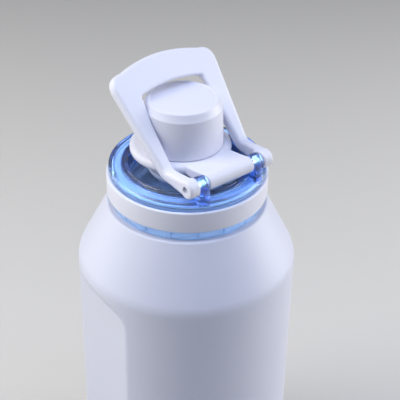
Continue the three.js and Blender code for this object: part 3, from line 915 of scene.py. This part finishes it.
def upright_disc(radius, bottom, top):
    points, faces = revolved([(0, bottom), (radius, bottom), (radius, top), (0, top)], TURNS)
    return new_piece("disc", points, faces, CLEAR)


def make_lid_body():
    step = 0.6
    core_edge = CORE_RADIUS + 0.3
    outline = rounded([
        (SKIRT_INNER_RADIUS, SKIRT_LOW_Z, 0.3),
        (SKIRT_FOOT_RADIUS, SKIRT_LOW_Z, 0.4),
        (SKIRT_FOOT_RADIUS, BAND_LOW_Z - 0.6),
        (SKIRT_RADIUS, BAND_LOW_Z + 0.2),
        (SKIRT_RADIUS, RIM_LOW_Z),
        (RIM_RADIUS, RIM_LOW_Z, 0.25),
        (RIM_RADIUS, RIM_TOP_Z, 1.9),
        (40.6, RIM_TOP_Z, 0.25),
        (40.2, RIM_TOP_Z - step, 0.25),
        (core_edge, RIM_TOP_Z - step, 0.3),
        (core_edge, RIM_TOP_Z - DECK_THICKNESS),
        (SKIRT_INNER_RADIUS, RIM_TOP_Z - DECK_THICKNESS, 0.6),
    ])
    body = turned_piece("clear_lid_body", outline, CLEAR)
    for side in (-1, 1):
        points, faces = ear_shape(side)
        ear = new_piece("ear", points, faces, CLEAR)
        cut(ear, upright_disc(RIM_RADIUS - 0.3, RIM_LOW_Z, HINGE.z + 20), "INTERSECT")
        cut(ear, upright_disc(core_edge, RIM_LOW_Z - 1, RIM_TOP_Z + 0.6), "DIFFERENCE")
        cut(body, ear, "UNION")
    bore, faces = revolved([(0, -30), (BORE_RADIUS, -30), (BORE_RADIUS, 30), (0, 30)], 40)
    cut(body, new_piece("bore", along_hinge(bore), faces, CLEAR), "DIFFERENCE")
    settle(body, "lid", "clear_blue_plastic", "lid_body")


def make_lid_thread():
    ridges = new_piece("lid_thread", [(0, 0, 0)], [], CLEAR)
    values = {
        "Radius": 41.3,
        "Ridge Radius": 0.7,
        "Low": 233.4,
        "Turn": 0.5,
        "Start Angle": math.radians(40),
        "Material": CLEAR,
    }
    run_tree(ridges, THREAD_TREE, values)
    settle(ridges, "lid", "clear_blue_plastic")


def make_skirt_ribs():
    half_width, depth, tall = 0.5, 0.55, 4.4
    outline = [(-depth, -half_width), (depth, -half_width), (depth, half_width), (-depth, half_width)]
    points = [(x, y, z) for z in (0, tall) for x, y in outline]
    faces = [(0, 1, 2, 3), (4, 7, 6, 5), (0, 4, 5, 1), (1, 5, 6, 2), (2, 6, 7, 3), (3, 7, 4, 0)]
    rib = new_piece("skirt_ribs", points, faces, CLEAR)
    soften = rib.modifiers.new("edges", "BEVEL")
    soften.width = 0.3 * MM
    soften.segments = 2
    bake_modifiers(rib)
    run_tree(rib, ROUND_TREE, {"Count": 18, "Radius": 41.0, "Height": SKIRT_LOW_Z + 0.9, "Material": CLEAR})
    settle(rib, "lid", "clear_blue_plastic")


def make_collar_band():
    inner = SKIRT_RADIUS + 0.3
    band = turned_piece("collar_sleeve", rounded([
        (inner, BAND_LOW_Z),
        (BAND_RADIUS, BAND_LOW_Z, 0.6),
        (BAND_RADIUS, BAND_HIGH_Z, 0.9),
        (inner, BAND_HIGH_Z),
    ]), MOULDED, 256)
    settle(band, "lid", "moulded_plastic", "collar_band")


def spout_hole(piece, radius):
    points, faces = revolved([(0, 220), (radius, 220), (radius, 256), (0, 256)], 96, (0, SPOUT_Y))
    cut(piece, new_piece("hole", points, faces, piece.data.materials[0]), "DIFFERENCE")


def make_lid_core():
    core = turned_piece("clear_lid_pan", rounded([
        (0, RECESS_FLOOR_Z),
        (RECESS_RADIUS, RECESS_FLOOR_Z, 1.2),
        (RECESS_RADIUS, CORE_TOP_Z, 0.6),
        (RECESS_RADIUS + 1.5, CORE_TOP_Z, 0.2),
        (RECESS_RADIUS + 1.9, CORE_TOP_Z - 0.5, 0.2),
        (RECESS_RADIUS + 2.8, CORE_TOP_Z - 0.5, 0.2),
        (RECESS_RADIUS + 3.2, CORE_TOP_Z, 0.2),
        (CORE_RADIUS, CORE_TOP_Z, 0.5),
        (CORE_RADIUS, CORE_LOW_Z, 0.4),
        (CORE_RADIUS - 2, CORE_LOW_Z, 0.4),
        (CORE_RADIUS - 2, RECESS_FLOOR_Z - 2, 0.8),
        (0, RECESS_FLOOR_Z - 2),
    ]), CLEAR)
    spout_hole(core, SPOUT_RADIUS + 0.3)
    settle(core, "lid", "clear_blue_plastic", "lid_core")
    under = turned_piece("clear_lid_underside", rounded([
        (0, CORE_LOW_Z),
        (CORE_RADIUS - 2.3, CORE_LOW_Z, 0.4),
        (CORE_RADIUS - 2.3, CORE_LOW_Z + 2.2, 0.4),
        (0, CORE_LOW_Z + 2.2),
    ]), CLEAR)
    spout_hole(under, SPOUT_RADIUS + 0.3)
    settle(under, "lid", "clear_blue_plastic", "lid_underside")


def make_seals():
    bottom, top = low("lid_gasket").z, high("lid_gasket").z
    inner, outer = CORE_RADIUS + 0.3, high("lid_gasket").x
    middle = (bottom + top) / 2
    gasket = turned_piece("mouth_gasket", rounded([
        (inner, bottom, 0.3),
        (outer - 0.6, bottom, 0.3),
        (outer, middle, 0.4),
        (outer - 0.6, top, 0.3),
        (inner, top, 0.3),
    ], 20), SILICONE, 160)
    settle(gasket, "gasket", "silicone", "lid_gasket")
    bottom, top = low("spout_seal").z, high("spout_seal").z
    seal = turned_piece("spout_foot_seal", rounded([
        (SPOUT_RADIUS + 0.3, bottom, 0.3),
        (SPOUT_RADIUS + 4, bottom, 0.3),
        (SPOUT_RADIUS + 4, top, 0.3),
        (SPOUT_RADIUS + 0.3, top, 0.3),
    ], 20), SILICONE, 128, (0, SPOUT_Y))
    settle(seal, "lid", "silicone", "spout_seal")
    bottom, top = low("cap_seal").z, high("cap_seal").z
    radius = high("cap_seal").x
    seal = turned_piece("cap_seal_disc", rounded([
        (0, bottom + 0.3),
        (SPOUT_BORE - 2, bottom + 0.3, 0.3),
        (SPOUT_BORE - 1.4, bottom, 0.2),
        (radius, bottom, 0.5),
        (radius, top, 0.3),
        (0, top),
    ], 20), SILICONE, 128, (0, SPOUT_Y))
    settle(seal, "flip_cap", "silicone", "cap_seal")


def make_spout():
    flange = RECESS_FLOOR_Z + 1.8
    spout = turned_piece("drinking_spout", rounded([
        (SPOUT_BORE, SPOUT_LOW_Z, 0.4),
        (SPOUT_RADIUS, SPOUT_LOW_Z, 0.4),
        (SPOUT_RADIUS, flange),
        (SPOUT_RADIUS + 5, flange, 0.4),
        (SPOUT_RADIUS + 5, flange + 1.8, 0.6),
        (SPOUT_RADIUS, flange + 2.4, 1.2),
        (SPOUT_RADIUS, SPOUT_TOP_Z - 6, 0.4),
        (SPOUT_RADIUS - 0.35, SPOUT_TOP_Z - 5.4, 0.4),
        (SPOUT_RADIUS - 0.35, SPOUT_TOP_Z, 0.7),
        (SPOUT_BORE, SPOUT_TOP_Z, 0.7),
    ]), PALE, 160, (0, SPOUT_Y))
    settle(spout, "lid", "pale_plastic", "spout")


def make_pins():
    for side, node in ((-1, "hinge_pin_left"), (1, "hinge_pin_right")):
        outline = rounded([
            (0, PIN_INNER_X),
            (PIN_RADIUS, PIN_INNER_X, 0.3),
            (PIN_RADIUS, PIN_OUTER_X, 0.4),
            (0, PIN_OUTER_X),
        ], 15)
        points, faces = revolved(outline, 64)
        points = [(side * x, y, z) for x, y, z in along_hinge(points)]
        pin = new_piece(node.replace("hinge_pin", "steel_pin"), points, faces, POLISHED)
        settle(pin, "lid", "polished_steel", node)


# ---------- flip cap ----------


def waist_shape():
    """The wedge between the hinge barrel and the flange, its top sloping down to the flange."""
    half = BARREL_HALF_LENGTH - 0.1
    bottom = FLAP_LOW_Z + 1
    inside = FLAP_CENTRE_Y - FLAP_RADIUS + 7
    top = HINGE.z + BARREL_RADIUS
    outline = [
        (HINGE.y, bottom),
        (inside, bottom),
        (inside, FLAP_TOP_Z - 0.1),
        (inside - 3, FLAP_TOP_Z),
        (HINGE.y + 7, FLAP_TOP_Z + 1.5),
        (HINGE.y + 0.8, top - 0.1),
        (HINGE.y, top - 0.05),
    ]
    points = [(x, y, z) for x in (-half, half) for y, z in outline]
    count = len(outline)
    faces = [tuple(range(count)), tuple(range(count, 2 * count))]
    faces += [(k, (k + 1) % count, count + (k + 1) % count, count + k) for k in range(count)]
    return points, faces


def tube_along_hinge(radius, bore, start, end, turns=64):
    points, faces = revolved([(bore, start), (radius, start), (radius, end), (bore, end)], turns)
    return along_hinge(points), faces


def bar_along_hinge(radius, start, end, turns=64):
    points, faces = revolved([(0, start), (radius, start), (radius, end), (0, end)], turns)
    return along_hinge(points), faces


def make_flap():
    flange = revolved(rounded([
        (0, FLAP_LOW_Z),
        (FLAP_RADIUS, FLAP_LOW_Z, 2.4),
        (FLAP_RADIUS, FLAP_TOP_Z, 3.2),
        (0, FLAP_TOP_Z),
    ]), 160, (0, FLAP_CENTRE_Y))
    socket = PIN_INNER_X - 0.5
    end = BARREL_HALF_LENGTH
    parts = [flange, waist_shape(), bar_along_hinge(BARREL_RADIUS, -socket, socket)]
    for first, last in ((-end, -socket), (socket, end)):
        parts.append(tube_along_hinge(BARREL_RADIUS, BORE_RADIUS, first, last))
    flap = merged_piece("cap_plate", parts, MOULDED, 0.36, 10)
    for first, last in ((-end - 1, -socket), (socket, end + 1)):
        points, faces = bar_along_hinge(BORE_RADIUS, first, last)
        cut(flap, new_piece("bore", points, faces, MOULDED), "DIFFERENCE")
    points, faces = revolved([(0, 240), (FLAP_HOLE, 240), (FLAP_HOLE, 270), (0, 270)], 128, (0, SPOUT_Y))
    cut(flap, new_piece("hole", points, faces, MOULDED), "DIFFERENCE")
    settle(flap, "flip_cap", "moulded_plastic", "cap_flap")


def make_cap():
    wall = 2.0
    inner = CAP_RADIUS - wall
    edge = CAP_RADIUS - 0.8
    rim = CAP_TOP_Z
    edge_z = rim - 4.3
    cap = turned_piece("spout_cover", rounded([
        (0, CAP_TOP_Z - wall - 0.9),
        (inner - 1, CAP_TOP_Z - wall - 0.9, 0.8),
        (inner, CAP_LOW_Z, 0.3),
        (CAP_RADIUS, CAP_LOW_Z, 0.3),
        (edge, edge_z, 0.35),
        (edge - 0.9, edge_z + 1.5, 1.2),
        (edge - 2.2, rim, 1.0),
        (edge - 3.3, rim, 0.5),
        (edge - 4.0, rim - 0.55, 0.6),
        (0, rim - 0.7),
    ], 6), MOULDED, 256, (0, SPOUT_Y))
    settle(cap, "flip_cap", "moulded_plastic", "spout_cap")
    bottom, top = low("cap_insert").z, high("cap_insert").z
    radius = high("cap_insert").x
    insert = turned_piece("seal_carrier", rounded([
        (0, bottom),
        (radius - 1, bottom, 0.3),
        (radius, bottom + 1, 0.3),
        (radius, top, 0.3),
        (0, top),
    ], 20), PALE, 128, (0, SPOUT_Y))
    settle(insert, "flip_cap", "pale_plastic", "cap_insert")


# ---------- handle ----------


def side_place(x, s, out):
    """A point of the handle from its width, its distance along the side view and its height off it."""
    radius = HANDLE_BEND
    arc_start = HANDLE_LEVEL - radius * math.tan(HANDLE_RISE / 2)
    arc_length = radius * HANDLE_RISE
    if s <= arc_start:
        y, z, turn = s, 0.0, 0.0
    elif s <= arc_start + arc_length:
        turn = (s - arc_start) / radius
        y = arc_start + radius * math.sin(turn)
        z = radius * (1 - math.cos(turn))
    else:
        turn = HANDLE_RISE
        rest = s - arc_start - arc_length
        y = arc_start + radius * math.sin(turn) + rest * math.cos(turn)
        z = radius * (1 - math.cos(turn)) + rest * math.sin(turn)
    return (x, HINGE.y + y - out * math.sin(turn), HINGE.z + z + out * math.cos(turn))


def spaced(points, count):
    """The same open path with evenly spaced points."""
    path = np.array(points, float)
    reach = np.concatenate([[0], np.cumsum(np.linalg.norm(np.diff(path, axis=0), axis=1))])
    marks = np.linspace(0, reach[-1], count)
    return np.stack([np.interp(marks, reach, path[:, k]) for k in range(path.shape[1])], 1)


def curve_through(start, bend, end, steps=16):
    """A quadratic curve from start to end, pulled towards bend."""
    result = []
    for k in range(steps + 1):
        t = k / steps
        shares = ((1 - t) ** 2, 2 * t * (1 - t), t * t)
        result.append(tuple(np.dot(shares, corner) for corner in zip(start, bend, end)))
    return result


def half_paths():
    """Outer and inner edges of the right half, in three stretches: arm, corner and top bar."""
    level = HANDLE_LEVEL
    foot_s = 2.4
    outer = [
        spaced([(28.3, foot_s), (28.5, level - 7), (29.4, level + 3), (34.2, level + 48.6)], 64),
        spaced(curve_through((34.2, level + 48.6), (34.7, level + 57.8), (26.2, level + 57.9)), 24),
        spaced(curve_through((26.2, level + 57.9), (13.1, level + 62.4), (0, level + 62.5)), 26),
    ]
    inner = [
        spaced([(22.6, foot_s), (22.6, level), (21.9, level + 41.4)], 64),
        spaced(curve_through((21.9, level + 41.4), (21.8, level + 43.6), (19.8, level + 44.1)), 24),
        spaced(curve_through((19.8, level + 44.1), (10.5, level + 46.6), (0, level + 46.8)), 26),
    ]
    return tuple(np.concatenate([arm, corner[1:], bar[1:]]) for arm, corner, bar in (outer, inner))


def section_corners(width, half, lip):
    """Outline of the loop's cross-section: window edge at 0, outer edge at width, front edge at -lip."""
    outline = []
    for u, v, radius, start in (
        (width, half, 2.4, 0),
        (-lip, half, 1.3, 90),
        (0, -half, 1.5, 180),
        (width, -half, 2.6, 270),
    ):
        radius = min(radius, 0.48 * width, 0.95 * half)
        middle = (u - math.copysign(radius, u - width / 2), v - math.copysign(radius, v))
        for k in range(7):
            angle = math.radians(start + 15 * k)
            outline.append((middle[0] + radius * math.cos(angle), middle[1] + radius * math.sin(angle)))
    return outline


def arm_half_thickness(s):
    """The arms thicken towards the boss, whose round end they flow into."""
    share = min(1.0, max(0.0, s / (HANDLE_LEVEL - 1)))
    share = share * share * (3 - 2 * share)
    return (BOSS_RADIUS - 0.2) * (1 - share) + HANDLE_THICKNESS / 2 * share


def loop_shape():
    outer, inner = half_paths()
    mirrored = [np.concatenate([path, path[-2::-1] * (-1, 1)]) for path in (outer, inner)]
    points = []
    for edge, window in zip(*mirrored):
        width = np.linalg.norm(edge - window)
        direction = (edge - window) / width
        share = min(1.0, max(0.0, (window[1] - LIP_START) / LIP_RUN))
        section = section_corners(width, arm_half_thickness((edge[1] + window[1]) / 2), WINDOW_LIP * share)
        for along, out in section:
            flat = window + direction * along
            points.append(side_place(flat[0], flat[1], out))
    ring = len(section)
    rows = len(mirrored[0])
    faces = []
    for row in range(rows - 1):
        for k in range(ring):
            n = (k + 1) % ring
            faces.append((row * ring + k, row * ring + n, (row + 1) * ring + n, (row + 1) * ring + k))
    faces.append(tuple(range(ring)))
    faces.append(tuple(range((rows - 1) * ring, rows * ring)))
    return points, faces


def make_handle():
    parts = [loop_shape()]
    for first, last, fillets in (
        (-BOSS_OUTER_X, -BOSS_INNER_X, (1.3, 0.4)),
        (BOSS_INNER_X, BOSS_OUTER_X, (0.4, 1.3)),
    ):
        points, faces = revolved(rounded([
            (0, first), (BOSS_RADIUS, first, fillets[0]), (BOSS_RADIUS, last, fillets[1]), (0, last)
        ], 15), 64)
        parts.append((along_hinge(points), faces))
    handle = merged_piece("carry_loop", parts, MOULDED, 0.4, 8)
    for first, last in ((-30, -20), (20, 30)):
        points, faces = bar_along_hinge(BORE_RADIUS, first, last)
        cut(handle, new_piece("bore", points, faces, MOULDED), "DIFFERENCE")
    settle(handle, "carry_handle", "moulded_plastic", "handle")


# ---------- build ----------

SIDEWAYS, AHEAD = make_camera()
make_studio(SIDEWAYS, AHEAD)
make_floor()
make_shell()
make_neck_thread()
make_liner()
make_base()
make_lid_body()
make_lid_thread()
make_skirt_ribs()
make_collar_band()
make_lid_core()
make_seals()
make_spout()
make_pins()
make_flap()
make_cap()
make_handle()
for hidden_node in ("getter_pellet", "vacuum_seal_bead"):
    frame["nodes"][hidden_node].data.materials.clear()
    frame["nodes"][hidden_node].data.materials.append(SOLDER)
